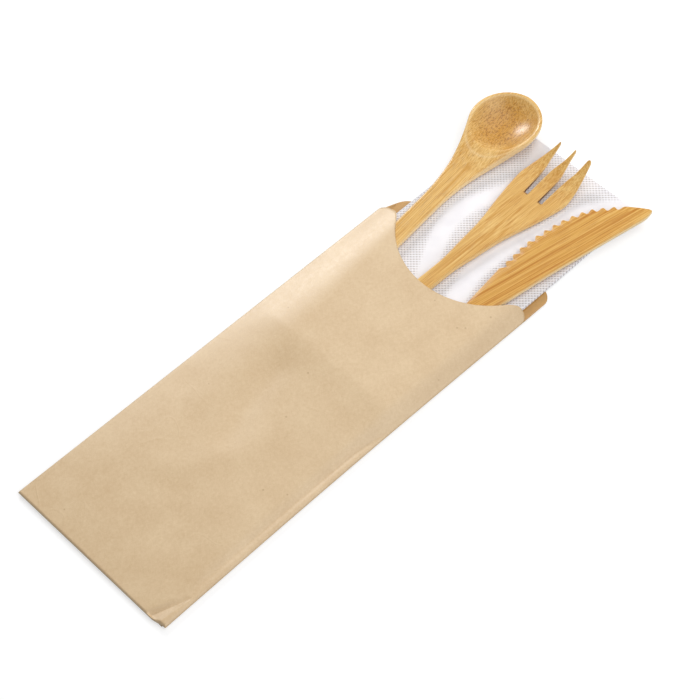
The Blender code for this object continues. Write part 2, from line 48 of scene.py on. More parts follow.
def smoothStep(low, high, value):
    t = min(1.0, max(0.0, (value - low) / (high - low)))
    return t * t * (3 - 2 * t)


def spread(low, high, steps):
    return [low + (high - low) * i / steps for i in range(steps + 1)]


def softMin(a, b, blend):  # the lower of two heights, with the crease between them rounded
    mix = min(1.0, max(0.0, 0.5 + 0.5 * (b - a) / blend))
    return b + (a - b) * mix - blend * mix * (1 - mix)


def curveThrough(points, at):  # a smooth curve through (place, value) points, level past both ends
    if at <= points[0][0]:
        return points[0][1]
    if at >= points[-1][0]:
        return points[-1][1]
    index = max(i for i in range(len(points) - 1) if points[i][0] <= at)

    def slope(i):
        before = points[max(0, i - 1)]
        after = points[min(len(points) - 1, i + 1)]
        return (after[1] - before[1]) / (after[0] - before[0])

    (x0, y0), (x1, y1) = points[index], points[index + 1]
    span = x1 - x0
    t = (at - x0) / span
    near = (2 * t**3 - 3 * t**2 + 1) * y0 + (t**3 - 2 * t**2 + t) * span * slope(index)
    far = (3 * t**2 - 2 * t**3) * y1 + (t**3 - t**2) * span * slope(index + 1)
    return near + far


def waves(x, y, size, seed):  # soft unevenness from -1 to 1, one wave about every size metres
    return noise.noise(Vector((x / size, y / size, seed * 7.31)))


# Thicknesses, and the heights above the table that they add up to, in metres
stack = {"paper": 0.00015, "clearance": 0.0003, "napkin": 0.0022, "cutlery": 0.0032}
stack["napkinBase"] = 2 * stack["paper"] + stack["clearance"]
stack["cutleryBase"] = stack["napkinBase"] + stack["napkin"] + stack["clearance"]
stack["frontTop"] = stack["cutleryBase"] + stack["cutlery"] + stack["clearance"] + stack["paper"]


def gridPiece(across, along, place):  # a flat grid whose points are then carried to their places
    bm = bmesh.new()
    bmesh.ops.create_grid(bm, x_segments=across, y_segments=along, size=0.5)
    for vert in bm.verts:
        column = round((vert.co.x + 0.5) * across)
        row = round((vert.co.y + 0.5) * along)
        vert.co = place(column, row)
    return bm


def closedLoft(rings):  # skin a row of rings, welded round the section and closed at both ends
    count = len(rings[0])
    bm = gridPiece(count, len(rings) - 1, lambda column, row: rings[row][column % count])
    bmesh.ops.remove_doubles(bm, verts=bm.verts[:], dist=0.5 * micron)
    ends = [edge for edge in bm.edges if edge.is_boundary]
    bmesh.ops.holes_fill(bm, edges=ends, sides=0)
    bmesh.ops.recalc_face_normals(bm, faces=bm.faces[:])
    return bm


def barRing(y, left, right, base, top, across, edge):
    # section of a flat bar with rounded edges: over the top, down the right edge and back
    soft = min(edge, 0.3 * (right - left))
    places = spread(left + soft, right - soft, across)
    ring = [(x, y, top(x)) for x in places]
    turns = [math.radians(angle) for angle in (22.5, 45, 67.5, 90)]
    for side, x in ((1, right - soft), (-1, left + soft)):
        high, low = top(x), base(x)
        drop = min(edge, 0.4 * (high - low))
        arc = [(x + side * soft * math.sin(t), y, high - drop * (1 - math.cos(t))) for t in turns]
        arc += [(x + side * soft * math.sin(t), y, low + drop * (1 - math.cos(t))) for t in reversed(turns)]
        if side == 1:
            ring += arc + [(place, y, base(place)) for place in reversed(places)]
        else:
            ring += reversed(arc)
    return ring


def layOnNapkin(bm, tip, lean, length):  # a piece drawn from its butt at y = 0, turned and laid down
    turn = math.radians(lean)
    foot = Vector((tip[0] + length * math.sin(turn), tip[1] - length * math.cos(turn), stack["cutleryBase"]))
    bmesh.ops.rotate(bm, verts=bm.verts[:], cent=(0, 0, 0), matrix=Matrix.Rotation(turn, 3, "Z"))
    bmesh.ops.translate(bm, verts=bm.verts[:], vec=foot)


def markUprightForPaintedLight(bm):  # 1 on the faces that stand upright, 0 on the flat ones: where light is painted on the sides
    side = bm.verts.layers.float.new("side")
    bm.normal_update()
    for vert in bm.verts:
        vert[side] = 1 - smoothStep(0.30, 0.85, abs(vert.normal.z))
    return side


def addPiece(name, bm, materials, node, sharpAngle=50):
    bmesh.ops.translate(bm, verts=bm.verts[:], vec=origin)
    mesh = bpy.data.meshes.new(name)
    bm.to_mesh(mesh)
    bm.free()
    for material in materials:
        mesh.materials.append(material)
    mesh.shade_smooth()
    mesh.set_sharp_from_angle(angle=math.radians(sharpAngle))
    piece = bpy.data.objects.new(name, mesh)
    bpy.context.scene.collection.objects.link(piece)
    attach(piece, "root")
    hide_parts(node)
    return piece


# Materials

def newMaterial(name, roughness, specular):
    material = bpy.data.materials.new(name)
    material.use_nodes = True
    shader = material.node_tree.nodes["Principled BSDF"]
    shader.inputs["Roughness"].default_value = roughness
    shader.inputs["Specular IOR Level"].default_value = specular
    return material, material.node_tree, shader


def linear(colour):  # a colour written as 0 to 255 screen values
    return tuple((c / 255 / 12.92) if c < 11 else ((c / 255 + 0.055) / 1.055)**2.4 for c in colour) + (1.0,)


def placeOf(tree, turn=0.0, stretch=(1, 1, 1), shift=(0, 0, 0)):  # in object space
    coordinates = tree.nodes.new("ShaderNodeTexCoord")
    turned = tree.nodes.new("ShaderNodeMapping")
    turned.inputs["Rotation"].default_value = (0, 0, math.radians(turn))
    turned.inputs["Location"].default_value = shift
    stretched = tree.nodes.new("ShaderNodeMapping")
    stretched.inputs["Scale"].default_value = stretch
    tree.links.new(coordinates.outputs["Object"], turned.inputs["Vector"])
    tree.links.new(turned.outputs["Vector"], stretched.inputs["Vector"])
    return stretched.outputs["Vector"]


def noiseOf(tree, vector, scale=1.0, detail=2.0, roughness=0.5, distortion=0.0):
    node = tree.nodes.new("ShaderNodeTexNoise")
    node.inputs["Scale"].default_value = scale
    node.inputs["Detail"].default_value = detail
    node.inputs["Roughness"].default_value = roughness
    node.inputs["Distortion"].default_value = distortion
    tree.links.new(vector, node.inputs["Vector"])
    return node.outputs["Fac"]


def rangeOf(tree, value, low, high, toLow=0.0, toHigh=1.0):
    node = tree.nodes.new("ShaderNodeMapRange")
    node.inputs["From Min"].default_value = low
    node.inputs["From Max"].default_value = high
    node.inputs["To Min"].default_value = toLow
    node.inputs["To Max"].default_value = toHigh
    tree.links.new(value, node.inputs["Value"])
    return node.outputs["Result"]


def mathOf(tree, kind, first, second=0.0):
    node = tree.nodes.new("ShaderNodeMath")
    node.operation = kind
    for socket, value in zip(node.inputs, (first, second)):
        if isinstance(value, (int, float)):
            socket.default_value = value
        else:
            tree.links.new(value, socket)
    return node.outputs["Value"]


def times(tree, first, second):
    return mathOf(tree, "MULTIPLY", first, second)


def plus(tree, first, second):
    return mathOf(tree, "ADD", first, second)


def mixOf(tree, share, first, second):
    node = tree.nodes.new("ShaderNodeMix")
    node.data_type = "RGBA"
    for name, value in (("Factor", share), ("A", first), ("B", second)):
        socket = next(s for s in node.inputs if s.name == name and s.enabled)
        if isinstance(value, bpy.types.NodeSocket):
            tree.links.new(value, socket)
        else:
            socket.default_value = value
    return next(s for s in node.outputs if s.enabled)


def attributeOf(tree, name):
    node = tree.nodes.new("ShaderNodeAttribute")
    node.attribute_name = name
    return node.outputs["Fac"]


def bumpOf(tree, height, distance, strength, under=None):
    node = tree.nodes.new("ShaderNodeBump")
    node.inputs["Distance"].default_value = distance
    node.inputs["Strength"].default_value = strength
    tree.links.new(height, node.inputs["Height"])
    if under is not None:
        tree.links.new(under, node.inputs["Normal"])
    return node.outputs["Normal"]


kraftLooks = {
    "outside": ((222, 195, 155), (204, 173, 130)),  # light and dark tone
    # inside: the inner face's browner tone, darkened further as painted shade
    "inside": ((200, 152, 78), (182, 134, 62)),
    "fleck": (165, 126, 84),
    "roughness": 0.46, "specular": 0.8,
}


def kraftMaterial(name, tones):
    light, dark = tones
    material, tree, shader = newMaterial(name, kraftLooks["roughness"], kraftLooks["specular"])
    clouds = noiseOf(tree, placeOf(tree), scale=55, detail=4, roughness=0.6)
    mottle = noiseOf(tree, placeOf(tree, turn=8), scale=560, detail=3, roughness=0.6)
    fibreA = noiseOf(tree, placeOf(tree, turn=24, stretch=(2200, 520, 800)), detail=2)
    fibreB = noiseOf(tree, placeOf(tree, turn=-52, stretch=(2000, 560, 800)), detail=2)
    fibres = times(tree, fibreA, fibreB)
    tone = plus(tree, times(tree, clouds, 0.6), times(tree, mottle, 0.4))
    tone = plus(tree, tone, times(tree, rangeOf(tree, fibres, 0.1, 0.4), 0.16))
    tone = rangeOf(tree, tone, 0.36, 0.82)
    colour = mixOf(tree, tone, linear(dark), linear(light))
    spots = tree.nodes.new("ShaderNodeTexVoronoi")
    spots.inputs["Scale"].default_value = 95
    tree.links.new(placeOf(tree, turn=31), spots.inputs["Vector"])
    spot = rangeOf(tree, spots.outputs["Distance"], 0.035, 0.055, 1.0, 0.0)
    colour = mixOf(tree, times(tree, spot, 0.45), colour, linear(kraftLooks["fleck"]))
    tree.links.new(colour, shader.inputs["Base Color"])
    tree.links.new(rangeOf(tree, mottle, 0.3, 0.7, 0.42, 0.50), shader.inputs["Roughness"])
    height = plus(tree, fibres, times(tree, mottle, 0.8))
    lines = noiseOf(tree, placeOf(tree, shift=(0.3, 0.1, 0)), scale=34, detail=1, distortion=0.3)
    where = noiseOf(tree, placeOf(tree, shift=(0.7, 0.4, 0)), scale=26, detail=1)
    away = mathOf(tree, "ABSOLUTE", mathOf(tree, "SUBTRACT", lines, 0.5))  # from the nearest crinkle
    crinkle = times(tree, rangeOf(tree, away, 0.0, 0.014, 1.0, 0.0), rangeOf(tree, where, 0.52, 0.64))
    crinkled = bumpOf(tree, crinkle, 0.00010, 0.3)
    tree.links.new(bumpOf(tree, height, 0.00006, 0.4, crinkled), shader.inputs["Normal"])
    return material


bambooLooks = {
    "spoon": {
        "fine": 1.7, "gloss": 0.26,
        "light": (238, 199, 130), "mid": (225, 180, 104), "dark": (207, 152, 70),
        # hollow is painted shade into the bowl; side is painted light on the upright faces and a painted
        # highlight along the bowl's rim
        "vein": (152, 96, 30), "side": (252, 224, 172), "hollow": (190, 134, 44), "hollowShare": 0.6,
    },
    "fork": {
        "fine": 1.6, "gloss": 0.42,
        "light": (234, 195, 122), "mid": (219, 172, 94), "dark": (199, 142, 58),
        # hollow is painted shade on the slots' walls; side is painted light on the upright faces
        "vein": (172, 108, 36), "side": (240, 204, 142), "hollow": (92, 52, 20), "hollowShare": 0.9,
    },
    "knife": {
        "fine": 1.05, "gloss": 0.42,
        "light": (230, 185, 104), "mid": (212, 158, 70), "dark": (187, 121, 30),
        # side is painted light on the upright faces
        "vein": (164, 94, 20), "side": (255, 232, 186),
    },
}


def bambooMaterial(name, lean, tones, seed):
    material, tree, shader = newMaterial(name, 0.42, 0.38)
    shift = (seed * 0.31, seed * 0.17, seed * 0.23)
    fine = tones["fine"]

    def grain(across, along, detail):
        return noiseOf(tree, placeOf(tree, -lean, (across, along, 0.9 * across), shift), detail=detail)

    bands = grain(260, 5, 3)
    strands = grain(1700 * fine, 15 * fine, 2)
    veins = grain(1700 * fine, 60 * fine, 1)
    pores = grain(2600, 280, 1)
    tone = plus(tree, times(tree, bands, 0.35), times(tree, strands, 0.65))
    colour = mixOf(tree, rangeOf(tree, tone, 0.38, 0.51), linear(tones["dark"]), linear(tones["mid"]))
    colour = mixOf(tree, rangeOf(tree, tone, 0.51, 0.64), colour, linear(tones["light"]))
    vein = rangeOf(tree, veins, 0.58, 0.72)
    colour = mixOf(tree, times(tree, vein, 0.5), colour, linear(tones["vein"]))
    pore = rangeOf(tree, pores, 0.62, 0.74)
    colour = mixOf(tree, times(tree, pore, 0.3), colour, linear(tones["vein"]))
    side = attributeOf(tree, "side")  # painted light: the upright sides are made paler, as if lit from the side
    colour = mixOf(tree, times(tree, side, 0.85), colour, linear(tones["side"]))
    if "hollow" in tones:  # painted shade in the bowl and on the slots' walls: darker, as if shaded, and full of short dashes of grain
        hollow = attributeOf(tree, "hollow")
        dashes = rangeOf(tree, grain(1500, 700, 1), 0.50, 0.62)
        colour = mixOf(tree, times(tree, hollow, tones["hollowShare"]), colour, linear(tones["hollow"]))
        colour = mixOf(tree, times(tree, times(tree, hollow, dashes), 0.8), colour, linear(tones["vein"]))
    tree.links.new(colour, shader.inputs["Base Color"])
    gloss = tones["gloss"]
    tree.links.new(rangeOf(tree, strands, 0.3, 0.7, gloss - 0.05, gloss + 0.07), shader.inputs["Roughness"])
    height = mathOf(tree, "SUBTRACT", times(tree, strands, 0.6), times(tree, vein, 0.5))
    tree.links.new(bumpOf(tree, height, 0.00007, 0.5), shader.inputs["Normal"])
    return material


tissueLooks = {
    # pitShade is painted shade in the embossed pits
    "white": (251, 249, 252), "shade": (244, 242, 246), "pitShade": (186, 178, 175),
    "pitch": 0.00146, "pitDepth": 0.00016,  # from pit to pit, and how deep they are
    "roughness": 0.95, "specular": 0.2,
}


def tissueMaterial():
    material, tree, shader = newMaterial("embossed_tissue", tissueLooks["roughness"], tissueLooks["specular"])
    wave = math.tau / tissueLooks["pitch"]
    place = placeOf(tree, turn=45, stretch=(wave, wave, wave))
    split = tree.nodes.new("ShaderNodeSeparateXYZ")
    tree.links.new(place, split.inputs["Vector"])
    ridges = [mathOf(tree, "SINE", split.outputs[axis]) for axis in ("X", "Y")]
    lattice = plus(tree, times(tree, ridges[0], 1.3), times(tree, ridges[1], 0.7))  # pits where both are low
    pits = rangeOf(tree, lattice, -1.7, 0.4, 1.0, 0.0)
    dotted = rangeOf(tree, attributeOf(tree, "plain"), 0.0, 1.0, 1.0, 0.0)
    pits = times(tree, pits, dotted)
    crumbs = noiseOf(tree, placeOf(tree), scale=1500, detail=2)
    soft = noiseOf(tree, placeOf(tree), scale=130, detail=2)
    shade, white = linear(tissueLooks["shade"]), linear(tissueLooks["white"])
    colour = mixOf(tree, rangeOf(tree, soft, 0.3, 0.7), shade, white)
    # painted shade darkens the embossed pits
    colour = mixOf(tree, times(tree, pits, 0.75), colour, linear(tissueLooks["pitShade"]))
    tree.links.new(colour, shader.inputs["Base Color"])
    fuzz = bumpOf(tree, crumbs, 0.00004, 0.4)
    tree.links.new(bumpOf(tree, mathOf(tree, "SUBTRACT", 1.0, pits), tissueLooks["pitDepth"], 0.9, fuzz),
                   shader.inputs["Normal"])
    return material


# Kraft paper sleeve

sleeve = {
    "width": 0.096, "backLength": 0.2499, "frontLength": 0.2307, "fold": 0.0010,
    "backSlant": 0.006, "backTuck": 0.003,
    "mouthRadius": 0.044, "mouthBottom": 0.2074, "mouthShift": 0.0018, "mouthBlend": 0.006,
    "frontCorner": 0.004, "backCorner": 0.0085, "seam": 0.012, "turnUp": 0.015,
    "sidePull": 0.0009, "puff": 0.0014, "drape": 0.052, "crush": 0.0013,
    "trough": 0.0010, "ridge": 0.0003, "strip": 0.0004, "stripWidth": 0.0030, "easeLeft": 0.0045,
    "unevenness": 0.00028,
    "columns": 74, "fineColumns": 28, "fineWidth": 0.012,  # the crushed corner's columns lie closer
    "cornerTop": 0.024, "cornerRows": 42, "evenTop": 0.150, "evenRows": 80, "mouthRows": 68,
    "foldSteps": 8, "noseSteps": 5,
}
crumple = {  # places count from the right side fold
    "foot": 0.0095, "ridge": 0.0034, "head": (0.0022, 0.0185),
    "depth": 0.0015, "facet": 0.0006, "slope": 0.0023,
}
valleyLine = [(0.088, -0.004), (0.105, -0.0096), (0.125, -0.0135), (0.145, -0.0175)]  # y, x up the front
ridgeLine = [(0.048, -0.014), (0.067, -0.002), (0.087, 0.010), (0.114, 0.014), (0.143, 0.017)]
sleeveLow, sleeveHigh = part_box("paper_sleeve")
origin = Vector((sleeveLow.x + sleeve["width"] / 2, sleeveLow.y, 0))
flatTop = stack["paper"] + 2 * sleeve["fold"]


def cornerDrop(x, corner):  # how far a rounded corner falls short of the panel's end
    past = min(corner, abs(x) - (sleeve["width"] / 2 - corner))
    return corner - math.sqrt(corner**2 - past**2) if past > 0 else 0.0


def frontEnd(x):
    dx = x - sleeve["mouthShift"]
    radius, long = sleeve["mouthRadius"], sleeve["frontLength"]
    end = long
    if abs(dx) < radius:
        scoop = sleeve["mouthBottom"] + radius - math.sqrt(radius**2 - dx**2)
        end = softMin(scoop, long, sleeve["mouthBlend"])
    return end - cornerDrop(x, sleeve["frontCorner"])


def backEnd(x):
    slant = sleeve["backSlant"] * (0.5 - x / sleeve["width"])
    return sleeve["backLength"] - cornerDrop(x, sleeve["backCorner"]) - slant


def sideEdge(side, y):  # the right side fold is drawn in a little along its middle
    half = sleeve["width"] / 2
    if side < 0:
        return half
    return half - sleeve["sidePull"] * math.sin(math.pi * min(1.0, y / sleeve["frontLength"]))


def cornerCrumple(x, y):  # a steep slope into a crease, a raised facet and a strip down to the fold
    edge, (reach, high) = sleeve["width"] / 2, crumple["head"]
    if y > high:
        return 0.0
    t = y / high
    crease = edge - crumple["foot"] + (crumple["foot"] - reach) * t
    ridge = edge - crumple["ridge"] + (crumple["ridge"] - reach) * t + micron
    fade = (1 - t)**0.6 * smoothStep(0.0, 0.0012, y)
    if x < crease:
        return -crumple["depth"] * fade * max(0.0, 1 - (crease - x) / crumple["slope"])**1.2
    if x < ridge:
        share = (x - crease) / (ridge - crease)
        return fade * (crumple["facet"] * share - crumple["depth"] * (1 - share))
    return fade * crumple["facet"] * max(0.0, 1 - (x - ridge) / (edge - ridge))


def spoonOuterEdge(y):
    inside = min(sleeve["frontLength"], max(fork["tip"][1] - fork["length"], y))
    lean = math.tan(math.radians(spoon["lean"]))
    return spoon["handle"] / 2 - (spoon["tip"][0] + lean * (spoon["tip"][1] - inside))


def knifeOuterEdge():
    lean = math.tan(math.radians(knife["lean"]))
    return knife["tip"][0] + lean * (knife["tip"][1] - sleeve["frontLength"]) + knife["swell"]


def tautRamp(t):  # paper drawn from a side fold up to what it covers: steep first, then level
    return 1 - (1 - t)**2 * (1 + 0.4 * t)


def frontHeight(x, y):
    full = stack["frontTop"] - flatTop
    puff = sleeve["puff"]
    inside = fork["tip"][1] - fork["length"] - 0.003  # just below the fork's butt
    lift = curveThrough([
        (0.0, 0.0), (0.018, 0.45 * puff), (0.055, puff), (inside - sleeve["drape"], puff * 1.15),
        (inside - 0.35 * sleeve["drape"], 0.62 * full), (inside, full),
    ], y)
    left = sideEdge(-1, y) - sleeve["fold"]
    right = sideEdge(1, y) - sleeve["fold"]
    rampLeft = min(1.0, max(0.0, (left + x) / (left - spoonOuterEdge(y) + sleeve["easeLeft"])))
    beside = 1 - smoothStep(0.118, 0.142, y)  # a level strip lies beside the right fold, up to the napkin
    hem = right - sleeve["stripWidth"] * beside
    rampRight = min(1.0, max(0.0, (hem - x) / (hem - knifeOuterEdge())))
    profile = tautRamp(rampLeft) * tautRamp(rampRight)
    free = 1 - smoothStep(inside - 0.025, inside - 0.002, y)
    dip = math.exp(-((x - curveThrough(valleyLine, y)) / 0.0075)**2) * smoothStep(0.070, 0.100, y)
    crest = math.exp(-((x - curveThrough(ridgeLine, y)) / 0.008)**2) * smoothStep(0.030, 0.060, y)
    strip = math.exp(-((x - hem) / 0.0016)**2) * smoothStep(0.016, 0.034, y) * beside
    trough = sleeve["trough"] * free * dip - sleeve["ridge"] * free * crest + sleeve["strip"] * strip
    uneven = 0.6 * waves(x, y, 0.030, 1) + 0.4 * waves(x, y, 0.013, 2)
    inner = smoothStep(0.0, 0.012, min(left + x, right - x)) * smoothStep(0.0, 0.02, y)
    uneven = sleeve["unevenness"] * inner * (0.2 + 0.8 * free) * uneven
    return flatTop + lift * profile - trough + cornerCrumple(x, y) + uneven


def sleeveLoop():  # once round the flat tube: front right to left, left fold, back, right fold
    edge = sleeve["width"] / 2 - sleeve["fold"]
    corner = edge - sleeve["fineWidth"]
    places = spread(-edge, corner, sleeve["columns"]) + spread(corner, edge, sleeve["fineColumns"])[1:]
    turns = spread(90, -90, sleeve["foldSteps"])[1:-1]
    loop = [(x, "front", 90) for x in reversed(places)]
    loop += [(-edge, "fold", turn) for turn in turns]
    loop += [(x, "back", -90) for x in places]
    loop += [(edge, "fold", turn) for turn in reversed(turns)]
    return loop


def sleeveRows():  # (height up the sleeve, share of the nose's turn)
    fold, nose = sleeve["fold"], sleeve["noseSteps"]
    turns = [math.pi / 2 * i / nose for i in range(nose)]
    rows = [(fold * (1 - math.cos(turn)), math.sin(turn)) for turn in turns]
    corner, even, top = sleeve["cornerTop"], sleeve["evenTop"], sleeve["frontLength"]
    heights = spread(fold, corner, sleeve["cornerRows"])
    heights += spread(corner, even, sleeve["evenRows"])[1:] + spread(even, top, sleeve["mouthRows"])[1:]
    return rows + [(height, 1.0) for height in heights]


def sleevePoint(station, row):
    x, side, angle = station
    height, opened = row
    fold = sleeve["fold"]
    hand = 1 if x > 0 else -1
    turn = math.radians(angle)
    flatX = x + hand * fold * math.cos(turn) if side == "fold" else x
    if side == "front" or (side == "fold" and angle >= 0):
        end = frontEnd(flatX)
    else:
        end = backEnd(flatX)
    level, top = sleeve["evenTop"], sleeve["frontLength"]  # above this the rows bend to the mouth's line
    y = height if height <= level else level + (height - level) * (end - level) / (top - level)
    scale = (sideEdge(hand, y) - fold) / (sleeve["width"] / 2 - fold)
    crush = sleeve["crush"] * smoothStep(0.040, sleeve["width"] / 2, x)
    crush *= 1 - smoothStep(0.0, 0.006, y)
    middle = stack["paper"] + fold
    wide = x * scale
    z = middle + fold * math.sin(turn)
    if side == "fold":
        wide += hand * fold * math.cos(turn)
    elif side == "front":
        z = frontHeight(x * scale, y)
    if x < 0 and (side == "back" or angle < 0):  # past the front panel the left fold is tucked in
        wide *= 1 - 2 * sleeve["backTuck"] / sleeve["width"] * smoothStep(top - 0.009, top, y)
    return Vector((wide, y + crush, middle + (z - middle) * opened))


def gluedLap(bm, low, high):  # one more layer of paper under the back panel
    size = (high[0] - low[0], high[1] - low[1], stack["paper"] * 0.98)
    centre = Vector(((low[0] + high[0]) / 2, (low[1] + high[1]) / 2, stack["paper"] / 2))
    made = bmesh.ops.create_cube(bm, size=1.0)["verts"]
    bmesh.ops.scale(bm, verts=made, vec=size)
    bmesh.ops.translate(bm, verts=made, vec=centre)


def makeSleeve():
    loop, rows = sleeveLoop(), sleeveRows()
    count = len(loop)
    bm = gridPiece(count, len(rows) - 1, lambda column, row: sleevePoint(loop[column % count], rows[row]))
    bmesh.ops.remove_doubles(bm, verts=bm.verts[:], dist=2 * micron)
    bmesh.ops.recalc_face_normals(bm, faces=bm.faces[:])
    # the outside has to face outwards, because the paper gets its thickness inwards
    if max(bm.faces, key=lambda face: face.calc_center_median().z).normal.z < 0:
        bmesh.ops.reverse_faces(bm, faces=bm.faces[:])
    outer = kraftMaterial("kraft_outside", kraftLooks["outside"])
    # the inner face gets a darker, browner copy of the kraft, partly painted shade
    inner = kraftMaterial("kraft_inside_shaded", kraftLooks["inside"])
    piece = addPiece("kraft_sleeve", bm, [outer, inner], "paper_sleeve", 60)
    wall = piece.modifiers.new("paper", "SOLIDIFY")
    wall.thickness = stack["paper"]
    wall.offset = -1
    wall.material_offset = 1
    laps = bmesh.new()
    half = sleeve["seam"] / 2
    gluedLap(laps, (-half, sleeve["turnUp"]), (half, sleeve["backLength"] - 0.0005))
    gluedLap(laps, (-sleeve["width"] / 2 + 0.001, 0.001), (sleeve["width"] / 2 - 0.002, sleeve["turnUp"]))
    addPiece("glued_laps", laps, [outer], "paper_sleeve")


# Napkin, one sheet folded to eighths

napkin = {
    "width": 0.0824, "length": 0.165, "top": 0.316, "shift": 0.0017,
    "wave": 0.0004, "crinkle": 0.00012, "sheet": 0.00012, "layers": 4, "columns": 46, "foldSteps": 6,
}
bandLeft = [  # y, x along the middle of each smooth band
    (0.200, 0.004), (0.214, -0.0032), (0.225, -0.0092), (0.2366, -0.0149), (0.2452, -0.0177),
    (0.2548, -0.0187), (0.2648, -0.0166), (0.2738, -0.013), (0.288, -0.009), (0.302, -0.012),
    (0.316, -0.019),
]
bandRight = [
    (0.200, 0.0205), (0.2134, 0.0170), (0.2248, 0.0135), (0.237, 0.0112), (0.250, 0.0123),
    (0.2617, 0.0146), (0.2766, 0.0207), (0.2876, 0.0225), (0.2986, 0.0255), (0.3077, 0.0315),
    (0.316, 0.038),
]
bandHalf = 0.0052


def plainShare(x, y):  # 1 in the smooth wavy bands, 0 in the dotted ground
    share = 0.0
    for band in (bandLeft, bandRight):
        away = abs(x - curveThrough(band, y))
        share = max(share, 1 - smoothStep(bandHalf - 0.0012, bandHalf + 0.0012, away))
    return share


def foldedLine():  # (x, height) once across the sheet: layers back and forth with round folds between
    pitch = stack["napkin"] / (2 * napkin["layers"])
    edge = napkin["width"] / 2 - pitch / 2
    line = []
    for layer in range(napkin["layers"]):
        hand = 1 if layer % 2 == 0 else -1
        height = pitch * (layer + 0.5)
        line += [(hand * x, height) for x in spread(-edge, edge, napkin["columns"])]
        if layer < napkin["layers"] - 1:
            for turn in spread(-90, 90, napkin["foldSteps"])[1:-1]:
                angle = math.radians(turn)
                out = edge + pitch / 2 * math.cos(angle)
                line.append((hand * out, height + pitch / 2 * (1 + math.sin(angle))))
    return line


def napkinRows():  # (y, turn): up the lower half, round the top fold and down the upper half
    middle = stack["napkin"] / 2
    low, high = napkin["top"] - napkin["length"], napkin["top"] - middle
    rows = [(y, -90) for y in spread(low, high, 48)]
    rows += [(high, turn) for turn in spread(-90, 90, 12)[1:-1]]
    rows += [(y, 90) for y in reversed(spread(low, high, 100))]
    return rows


def makeNapkin():
    line, rows = foldedLine(), napkinRows()
    middle = stack["napkin"] / 2

    def place(column, row):
        x, height = line[column]
        y, turn = rows[row]
        angle = math.radians(turn)
        radius = middle - height
        z = middle + radius * math.sin(angle)
        y += radius * math.cos(angle)
        swell = math.sin(x * 95 + y * 42) * math.sin(y * 61 - x * 30 + 0.6)
        dip = napkin["wave"] * (0.5 + 0.5 * swell)
        dip += napkin["crinkle"] * (0.5 + 0.5 * waves(x, y, 0.011, 5))
        z = napkin["sheet"] / 2 + z * (1 - napkin["sheet"] / (2 * middle)) - dip * z / stack["napkin"]
        return Vector((x + napkin["shift"], y, z + stack["napkinBase"]))

    bm = gridPiece(len(line) - 1, len(rows) - 1, place)
    plain = bm.verts.layers.float.new("plain")
    for vert in bm.verts:
        vert[plain] = plainShare(vert.co.x, vert.co.y)
    piece = addPiece("folded_napkin", bm, [tissueMaterial()], "napkin", 180)
    ply = piece.modifiers.new("ply", "SOLIDIFY")
    ply.thickness = napkin["sheet"]
    ply.offset = 0


# Spoon. Each bamboo piece is drawn from its butt, then laid with its tip at "tip", leaning by "lean" degrees

spoon = {
    "length": 0.170, "handle": 0.010, "neck": 0.087, "bowlLength": 0.0400, "bowlWidth": 0.0362,
    "rise": 0.0048, "bowlEdge": 0.0018, "wall": 0.0021, "rim": 0.0016, "runOut": 1.33,
    "tip": (-0.0398, 0.32717), "lean": 6.0, "edge": 0.0009,
}


def buttHalf(y, half):
    return half if y >= half else math.sqrt(max(0.0, half**2 - (half - y)**2))


def buttPlaces(half):
    return [0.0001] + [half * (1 - math.cos(math.pi / 2 * i / 8)) for i in range(1, 9)]


def spoonHalf(y):
    half, bowl, reach = spoon["handle"] / 2, spoon["bowlWidth"] / 2, spoon["bowlLength"] / 2
    centre = spoon["length"] - reach
    joint = centre - 0.436 * reach  # there the bowl's ellipse is 0.9 of its full width
    if y <= spoon["neck"]:
        return buttHalf(y, half)
    if y >= joint:
        return bowl * math.sqrt(max(0.0, 1 - ((y - centre) / reach)**2))
    span = joint - spoon["neck"]
    t = (y - spoon["neck"]) / span
    slope = bowl / reach * 0.436 / 0.9
    return ((2 * t**3 - 3 * t**2 + 1) * half + (3 * t**2 - 2 * t**3) * 0.9 * bowl
            + (t**3 - t**2) * span * slope)


def spoonBack(y):
    centre = spoon["length"] - spoon["bowlLength"] / 2
    return stack["cutlery"] + spoon["rise"] * smoothStep(centre - 0.038, centre, y)


def bowlShare(x, y):  # 0 in the middle of the bowl, 1 on the inner edge of its rim
    reach = spoon["bowlLength"] / 2
    centre = spoon["length"] - reach
    halfWide, halfLong = spoon["bowlWidth"] / 2 - spoon["rim"], reach - spoon["rim"]
    along = (y - centre) / (halfLong * (spoon["runOut"] if y < centre else 1.0))
    return math.sqrt((x / halfWide)**2 + along**2)


def spoonTop(x, y):
    r = bowlShare(x, y)
    depth = stack["cutlery"] + spoon["rise"] - spoon["wall"]
    hollow = stack["cutlery"] + spoon["rise"] - depth * (1 - r**2.3) + 0.02 * max(0.0, r - 1)
    return softMin(spoonBack(y), hollow, 0.0005)


def spoonBase(x, y):
    reach = spoon["bowlLength"] / 2
    centre = spoon["length"] - reach
    full = stack["cutlery"]
    thick = curveThrough([
        (spoon["neck"], full), (0.105, full + 0.0006), (0.122, full + 0.0010),
        (0.140, spoon["bowlEdge"] + 0.0008), (centre, spoon["bowlEdge"]),
    ], y)
    back = reach * 1.5 if y < centre else reach
    belly = 1 - (x / (spoon["bowlWidth"] / 2))**2 - ((y - centre) / back)**2
    depth = stack["cutlery"] + spoon["rise"] - spoon["bowlEdge"]
    return max(0.0, spoonBack(y) - thick - depth * max(0.0, belly))


